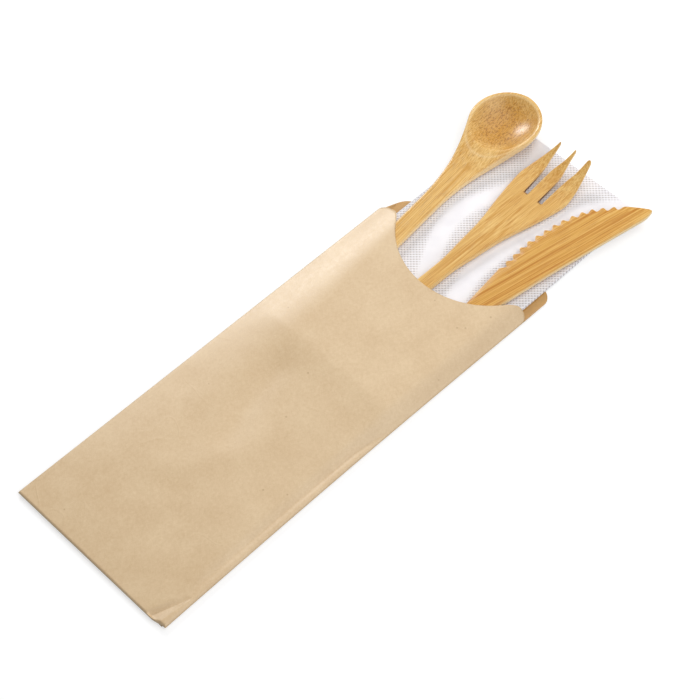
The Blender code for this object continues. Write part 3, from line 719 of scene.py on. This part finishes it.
def makeSpoon():
    reach = spoon["bowlLength"] / 2
    centre = spoon["length"] - reach
    places = buttPlaces(spoon["handle"] / 2) + spread(0.007, spoon["neck"], 32)
    places += spread(spoon["neck"], centre, 90)[1:]
    places += [centre + reach * math.sin(math.pi / 2 * i / 56) for i in range(1, 57)]
    rings = []
    for y in places:
        half = max(0.0006, spoonHalf(y))
        base, top = partial(spoonBase, y=y), partial(spoonTop, y=y)
        rings.append(barRing(y, -half, half, base, top, 80, spoon["edge"]))
    bm = closedLoft(rings)
    hollow = bm.verts.layers.float.new("hollow")  # painted shade, darker into the bowl, with a painted highlight as a pale line along its edge
    side = markUprightForPaintedLight(bm)
    for vert in bm.verts:
        x, y, z = vert.co
        if y > spoon["neck"] and z > spoonTop(x, y) - 0.0001:
            depth = spoonBack(y) - z
            # painted shade: darker from the bowl's inner wall down to its floor
            wall, floor = smoothStep(0.0002, 0.0010, depth), smoothStep(0.0012, 0.0046, depth)
            vert[hollow] = 0.35 * wall + 0.65 * floor
            # a painted highlight: a pale line along the bowl's rim
            vert[side] = max(vert[side], 0.45 * math.exp(-((bowlShare(x, y) - 0.985) / 0.028)**2))
    layOnNapkin(bm, spoon["tip"], spoon["lean"], spoon["length"])
    material = bambooMaterial("bamboo_spoon", spoon["lean"], bambooLooks["spoon"], 1)
    addPiece("bamboo_spoon", bm, [material], "spoon")


# Fork

fork = {
    "length": 0.168, "handle": 0.010, "waist": 0.0081, "head": 0.0300, "headThick": 0.0022,
    "tipThick": 0.0016, "tineLength": 0.0320, "tineRise": 0.0090, "tineSpread": 0.0196,
    "slotWidth": 0.0025, "slotPitch": 0.0091, "slotDrift": (0.0006, -0.0006), "shortTine": 0.0015,
    "tineRound": 0.0009, "tip": (0.0021, 0.316), "lean": -0.4, "edge": 0.0009, "slotEdge": 0.00035,
}


def forkHalf(y):
    head = fork["length"] - fork["tineLength"]
    handle, waist, wide = fork["handle"] / 2, fork["waist"] / 2, fork["head"] / 2
    if y < handle:
        return buttHalf(y, handle)
    outline = [
        (0.020, handle), (head - 0.062, waist), (head - 0.045, waist + 0.155 * (wide - waist)),
        (head - 0.029, waist + 0.345 * (wide - waist)), (head - 0.011, waist + 0.72 * (wide - waist)),
        (head + 0.007, wide), (head + 0.014, wide - 0.0007), (head + 0.020, wide - 0.0020),
        (fork["length"], fork["tineSpread"] / 2),
    ]
    return curveThrough(outline, y)


def forkBase(y):
    start = fork["length"] - 0.028
    return fork["tineRise"] * max(0.0, (y - start) / (fork["length"] - start))**2


def forkTop(y):
    head = fork["length"] - fork["tineLength"]
    thick = stack["cutlery"]
    thick += (fork["headThick"] - thick) * smoothStep(head - 0.045, head - 0.005, y)
    thick += (fork["tipThick"] - fork["headThick"]) * smoothStep(head + 0.005, fork["length"], y)
    return forkBase(y) + thick


def tineEdges(y):  # left and right edge of each tine, from left to right; the slots are sawn a little askew
    root, end = fork["length"] - fork["tineLength"], fork["length"] + 0.001
    middle, half = fork["slotPitch"] / 2, fork["slotWidth"] / 2
    y = max(root, y)
    inner = curveThrough([
        (root, half), (root + 0.012, half), (root + 0.019, half + 0.0004), (root + 0.023, half + 0.0013),
        (root + 0.0265, half + 0.0021), (end, half + 0.0030),
    ], y)
    outer = curveThrough([
        (root, half), (root + 0.012, half + 0.0004), (root + 0.019, half + 0.0010),
        (root + 0.023, half + 0.00175), (root + 0.027, half + 0.0021), (end, half + 0.0026),
    ], y)
    rise = min(1.0, (y - root) / (0.6 * fork["tineLength"]))
    drift = fork["slotDrift"][0] + (fork["slotDrift"][1] - fork["slotDrift"][0]) * (1 - (1 - rise)**2)
    tines = [
        (-forkHalf(y), drift - middle - outer),
        (drift + inner - middle, drift + middle - inner),
        (drift + middle + outer, forkHalf(y)),
    ]
    return [bluntTip(y, left, right) for left, right in tines]


def bluntTip(y, left, right):  # the end of a tine rounds off in plan
    radius = min(fork["tineRound"], (right - left) / 2)
    past = min(0.97, max(0.0, (y - fork["length"] + radius) / radius))
    half, middle = (right - left) / 2, (left + right) / 2
    half -= radius * (1 - math.sqrt(1 - past**2))
    return middle - half, middle + half


def forkColumns(y):  # (x, how far the rounded edge drops there) across the three tines
    root = fork["length"] - fork["tineLength"]
    thick = forkTop(y) - forkBase(y)
    scale = min(1.0, forkHalf(y) / forkHalf(root)) if y < root else 1.0
    columns = []
    for number, (left, right) in enumerate(tineEdges(y)):
        left, right = left * scale, right * scale
        if y < root:
            left = -forkHalf(y) if number == 0 else left
            right = forkHalf(y) if number == 2 else right
        for side in (-1, 1):
            outer = number == 1 + side  # the fork's own edge, where the others are walls of the slots
            size = min(fork["edge"] if outer else fork["slotEdge"] * scale, 0.4 * (right - left))
            deep = min(size, 0.4 * thick) if outer or y > root else 0.0
            arc = []
            for angle in spread(0, 90, 4):
                turn = math.radians(angle)
                start = left if side < 0 else right
                arc.append((start - side * size * (1 - math.cos(turn)), deep * (1 - math.sin(turn))))
            if side < 0:
                columns += arc
                inside = arc[-1][0]
            else:
                columns += [(x, 0.0) for x in spread(inside, arc[-1][0], 8)[1:-1]]
                columns += reversed(arc)
    return columns


def makeFork():
    root = fork["length"] - fork["tineLength"]
    places = buttPlaces(fork["handle"] / 2) + spread(0.007, root - 0.062, 30)
    places += spread(root - 0.062, root, 60)[1:]
    places += [root + 0.0004] + spread(root + 0.001, fork["length"] - 0.001, 62)
    places += [fork["length"] - 0.001 * (1 - math.sin(math.pi / 2 * i / 7)) for i in range(1, 8)]
    rows = [forkColumns(max(0.0001, y)) for y in places]
    bm = gridPiece(len(rows[0]) - 1, len(places) - 1,
                   lambda column, row: Vector((rows[row][column][0], places[row], rows[row][column][1])))
    drop = bm.verts.layers.float.new("drop")  # below the fork's top
    gaps = []  # faces between the tines
    for vert in bm.verts:
        vert[drop] = vert.co.z
        vert.co.z = forkTop(vert.co.y) - vert[drop]
    for face in bm.faces:
        middle = face.calc_center_median()
        if middle.y > root:
            xs = sorted(vert.co.x for vert in face.verts)
            edges = tineEdges(middle.y)
            for tine in (1, 2):
                gapLeft, gapRight = edges[tine - 1][1], edges[tine][0]
                inGap = gapLeft - 0.0002 < middle.x < gapRight + 0.0002
                if inGap and xs[-1] - xs[0] > 0.8 * (gapRight - gapLeft):
                    gaps.append(face)
    bmesh.ops.delete(bm, geom=gaps, context="FACES")
    lower = bmesh.ops.extrude_face_region(bm, geom=bm.faces[:])["geom"]
    for vert in [item for item in lower if isinstance(item, bmesh.types.BMVert)]:
        vert.co.z = forkBase(vert.co.y) + vert[drop]
    markUprightForPaintedLight(bm)
    slotWallShade = bm.verts.layers.float.new("hollow")  # painted shade: the walls of the two slots are darker, most near the slots' roots
    for vert in bm.verts:
        edges = tineEdges(vert.co.y)
        walls = (edges[0][1], edges[1][0], edges[1][1], edges[2][0])
        near = min(abs(vert.co.x - wall) for wall in walls)
        up = 1 - smoothStep(root + 0.004, root + 0.020, vert.co.y)
        vert[slotWallShade] = up if near < 20 * micron and vert.co.y > root - micron else 0.0
    for vert in bm.verts:
        upTine = max(0.0, (vert.co.y - root) / fork["tineLength"])  # the left tine is a little short
        vert.co.y -= fork["shortTine"] * upTine**3 * max(0.0, -vert.co.x / (fork["tineSpread"] / 2))
    bmesh.ops.recalc_face_normals(bm, faces=bm.faces[:])
    layOnNapkin(bm, fork["tip"], fork["lean"], fork["length"])
    material = bambooMaterial("bamboo_fork", fork["lean"], bambooLooks["fork"], 2)
    addPiece("bamboo_fork", bm, [material], "fork")


# Knife

knife = {
    "length": 0.170, "handle": 0.0087, "blade": 0.0226, "tipThick": 0.0026, "cutEdge": 0.0009,
    "bevel": 0.0040, "topBevel": 0.3, "heel": 0.0864, "flare": 0.0255, "swell": 0.0017,
    "spineRound": 0.017, "spineEnd": 0.0085, "easedSpine": 0.0010,
    "teeth": 14, "toothDepth": 0.0019, "toothed": 0.857,
    "tip": (0.0512, 0.3196), "lean": -10.0, "edge": 0.0009,
}


def spineX(y):  # straight, rounding off into the tip
    past = max(0.0, y - (knife["length"] - knife["spineEnd"]))
    return math.sqrt(knife["spineRound"]**2 - past**2) - knife["spineRound"]


def bladeWidth(y):  # from the spine's straight line to the crests of the teeth
    wide, heel, end = knife["blade"], knife["heel"], knife["length"]
    outline = [
        (heel, wide - 0.0061), (heel + 0.0100, wide - 0.0035), (heel + 0.0205, wide - 0.0011),
        (heel + 0.0390, wide), (end - 0.036, wide - 0.0006), (end - 0.025, wide - 0.0028),
        (end - 0.0155, wide - 0.0075), (end - 0.0103, wide - 0.0107), (end - 0.0044, wide - 0.0158),
        (end - 0.0024, wide - 0.0179), (end - 0.0005, wide - 0.0197),
    ]
    return curveThrough(outline, y)


def handleSwell(y):  # the handle is fuller on the spine's side
    return knife["swell"] * (1 - smoothStep(0.050, 0.115, y))


def knifeThick(y):  # full at the handle, thinner towards the tip
    start, thinning = knife["heel"] - knife["flare"], knife["tipThick"] - stack["cutlery"]
    return stack["cutlery"] + thinning * smoothStep(start, knife["length"], y)


def scallop(w, number):  # (place along the tooth, share of its depth), crest to crest, deepest at w = 0.5
    valley = 0.58 - 0.28 * number / (knife["teeth"] - 1)
    along = 2 * valley * w if w < 0.5 else valley + (1 - valley) * (2 * w - 1)
    return along, 0.5 - 0.5 * math.cos(math.tau * w)


def knifeRing(spine, edge, bevel, cutEdge):
    # section over the top from the spine to the cutting edge and back underneath
    thick = knifeThick(spine.y)
    inward = (edge - spine).normalized()
    eased = knife["easedSpine"] * (1 - smoothStep(0.09, 0.17, spine.y))
    soft = min(knife["edge"] + eased, 0.3 * (edge - spine).length)
    drop = min(soft, 0.4 * thick)
    corner = spine + inward * soft
    upper = []
    for turn in [math.radians(angle) for angle in (90, 67.5, 45, 22.5)]:
        place = corner - inward * soft * math.sin(turn)
        upper.append((place.x, place.y, thick - drop * (1 - math.cos(turn))))
    for share in spread(0, 1, 10):
        place = corner.lerp(bevel, share)
        upper.append((place.x, place.y, thick))
    lower = [(x, y, thick - z) for x, y, z in upper]
    for share in spread(0, 1, 6)[1:]:
        place = bevel.lerp(edge, share)
        fall = share**1.25 * (thick - cutEdge)
        upper.append((place.x, place.y, thick - fall * knife["topBevel"]))
        lower.append((place.x, place.y, fall * (1 - knife["topBevel"])))
    return upper + lower[::-1]


def makeKnife():
    heel, half = knife["heel"], knife["handle"] / 2
    flareStart = heel - knife["flare"]
    places = buttPlaces(half) + spread(0.007, flareStart, 24)
    places += spread(flareStart, heel - 0.0004, 26)[1:]
    rings = []
    for y in places:
        wide = max(0.0006, buttHalf(y, half))
        flare = max(0.0, (y - flareStart) / (heel - flareStart))
        spine = Vector((-half + wide + handleSwell(y) * wide / half, y))
        edge = Vector((-half - wide - flare * (bladeWidth(heel) - 2 * half), y))
        bevel = edge + Vector((min(wide, knife["edge"] + (knife["bevel"] - knife["edge"]) * flare), 0))
        blunt = stack["cutlery"] - 2 * knife["edge"]
        rings.append(knifeRing(spine, edge, bevel, blunt + (knife["cutEdge"] - blunt) * flare))
    steps = 800  # along the belly, so that the teeth can be set out by its length
    line = [Vector((-bladeWidth(y), y)) for y in spread(heel, knife["length"] - 0.0005, steps)]
    lengths = [0.0]
    for near, far in zip(line, line[1:]):
        lengths.append(lengths[-1] + (far - near).length)

    def onBelly(distance):
        index = min(steps - 1, max(i for i in range(steps) if lengths[i] <= distance + 1e-9))
        run = line[index + 1] - line[index]
        share = min(1.0, (distance - lengths[index]) / run.length)
        return line[index] + run * share, Vector((run.y, -run.x)).normalized()

    toothed = lengths[-1] * knife["toothed"]
    stations = []
    for number in range(knife["teeth"]):
        for w in spread(0, 1, 14)[:-1]:
            along, depth = scallop(w, number)
            stations.append((toothed * (number + along) / knife["teeth"], depth))
    stations += [(distance, 0.0) for distance in spread(toothed, lengths[-1] * 0.99, 26)]
    for distance, depth in stations:
        point, normal = onBelly(distance)
        spine = Vector((spineX(point.y) + handleSwell(point.y), point.y))
        bevel = point + normal * min(knife["bevel"], 0.5 * (spine.x - point.x))
        rings.append(knifeRing(spine, point + normal * knife["toothDepth"] * depth, bevel, knife["cutEdge"]))
    bm = closedLoft(rings)
    markUprightForPaintedLight(bm)
    layOnNapkin(bm, knife["tip"], knife["lean"], knife["length"])
    material = bambooMaterial("bamboo_knife", knife["lean"], bambooLooks["knife"], 3)
    addPiece("bamboo_knife", bm, [material], "knife", 40)


# Floor, light and camera

studio = {
    "target": (0.000965, 0.15926, 0.0), "azimuth": 45.02, "elevation": 55.08, "distance": 0.9428,
    "focal": 2021.85, "frame": 700, "sensor": 36.0,
    "worldLevel": 0.32, "floorTone": 0.5, "floorGlow": 0.60,
}
lamps = {  # place, size, power
    "key_softbox": ((0.88, 0.20, 0.85), 1.0, 7.2),
    "top_softbox": ((0.05, 0.55, 1.0), 0.9, 4.2),
    "sheen_window": ((-0.80, 0.45, 0.50), 0.28, 5.2),
}


def lookFrom(item, place, target):
    item.location = place
    item.rotation_euler = (Vector(target) - Vector(place)).to_track_quat("-Z", "Y").to_euler()


def areaLight(name, place, size, power):
    lamp = bpy.data.lights.new(name, "AREA")
    lamp.size = size
    lamp.energy = power
    item = bpy.data.objects.new(name, lamp)
    bpy.context.scene.collection.objects.link(item)
    lookFrom(item, place, (0, 0, 0))


def whiteForCamera(tree, plain, white, socket):  # white where the camera sees it, plain as a source of light
    paths = tree.nodes.new("ShaderNodeLightPath")
    seen = mathOf(tree, "MAXIMUM", paths.outputs["Is Camera Ray"], paths.outputs["Is Glossy Ray"])
    seen = mathOf(tree, "MAXIMUM", seen, paths.outputs["Is Transmission Ray"])
    mix = tree.nodes.new("ShaderNodeMixShader")
    tree.links.new(seen, mix.inputs[0])
    tree.links.new(plain, mix.inputs[1])
    tree.links.new(white, mix.inputs[2])
    tree.links.new(mix.outputs[0], socket)


def makeFloor():
    bm = bmesh.new()
    bmesh.ops.create_grid(bm, x_segments=1, y_segments=1, size=3.0)
    mesh = bpy.data.meshes.new("floor")
    bm.to_mesh(mesh)
    bm.free()
    floor = bpy.data.objects.new("floor", mesh)
    floor.location = (0, 0, -0.0002)
    bpy.context.scene.collection.objects.link(floor)
    material = bpy.data.materials.new("pale_floor")
    material.use_nodes = True
    tree = material.node_tree
    tree.nodes.clear()
    output = tree.nodes.new("ShaderNodeOutputMaterial")
    plain = tree.nodes.new("ShaderNodeBsdfDiffuse")
    plain.inputs["Color"].default_value = 3 * (studio["floorTone"],) + (1,)
    bright = tree.nodes.new("ShaderNodeEmission")
    bright.inputs["Strength"].default_value = studio["floorGlow"]
    added = tree.nodes.new("ShaderNodeAddShader")
    tree.links.new(plain.outputs[0], added.inputs[0])
    tree.links.new(bright.outputs[0], added.inputs[1])
    whiteForCamera(tree, plain.outputs[0], added.outputs[0], output.inputs["Surface"])
    mesh.materials.append(material)


def makeWorld():
    world = bpy.data.worlds.new("studio")
    bpy.context.scene.world = world
    world.use_nodes = True
    tree = world.node_tree
    tree.nodes.clear()
    output = tree.nodes.new("ShaderNodeOutputWorld")
    plain = tree.nodes.new("ShaderNodeBackground")
    plain.inputs["Strength"].default_value = studio["worldLevel"]
    white = tree.nodes.new("ShaderNodeBackground")
    white.inputs["Strength"].default_value = 1.0
    whiteForCamera(tree, plain.outputs[0], white.outputs[0], output.inputs["Surface"])


def makeCamera():
    lens = bpy.data.cameras.new("camera")
    lens.sensor_width = studio["sensor"]
    lens.lens = studio["focal"] / studio["frame"] * studio["sensor"]
    lens.clip_start, lens.clip_end = 0.01, 20
    camera = bpy.data.objects.new("camera", lens)
    bpy.context.scene.collection.objects.link(camera)
    across, up = math.radians(studio["azimuth"]), math.radians(studio["elevation"])
    back = Vector((math.sin(across) * math.cos(up), -math.cos(across) * math.cos(up), math.sin(up)))
    target = Vector(studio["target"]) + origin
    lookFrom(camera, target + back * studio["distance"], target)
    bpy.context.scene.camera = camera


makeSleeve()
print("kraft sleeve made")
makeNapkin()
print("napkin folded")
makeSpoon()
makeFork()
makeKnife()
print("bamboo pieces made")
makeFloor()
makeWorld()
for name, (place, size, power) in lamps.items():
    areaLight(name, place, size, power)
makeCamera()
bpy.context.scene.view_settings.view_transform = "Standard"
print("studio ready")
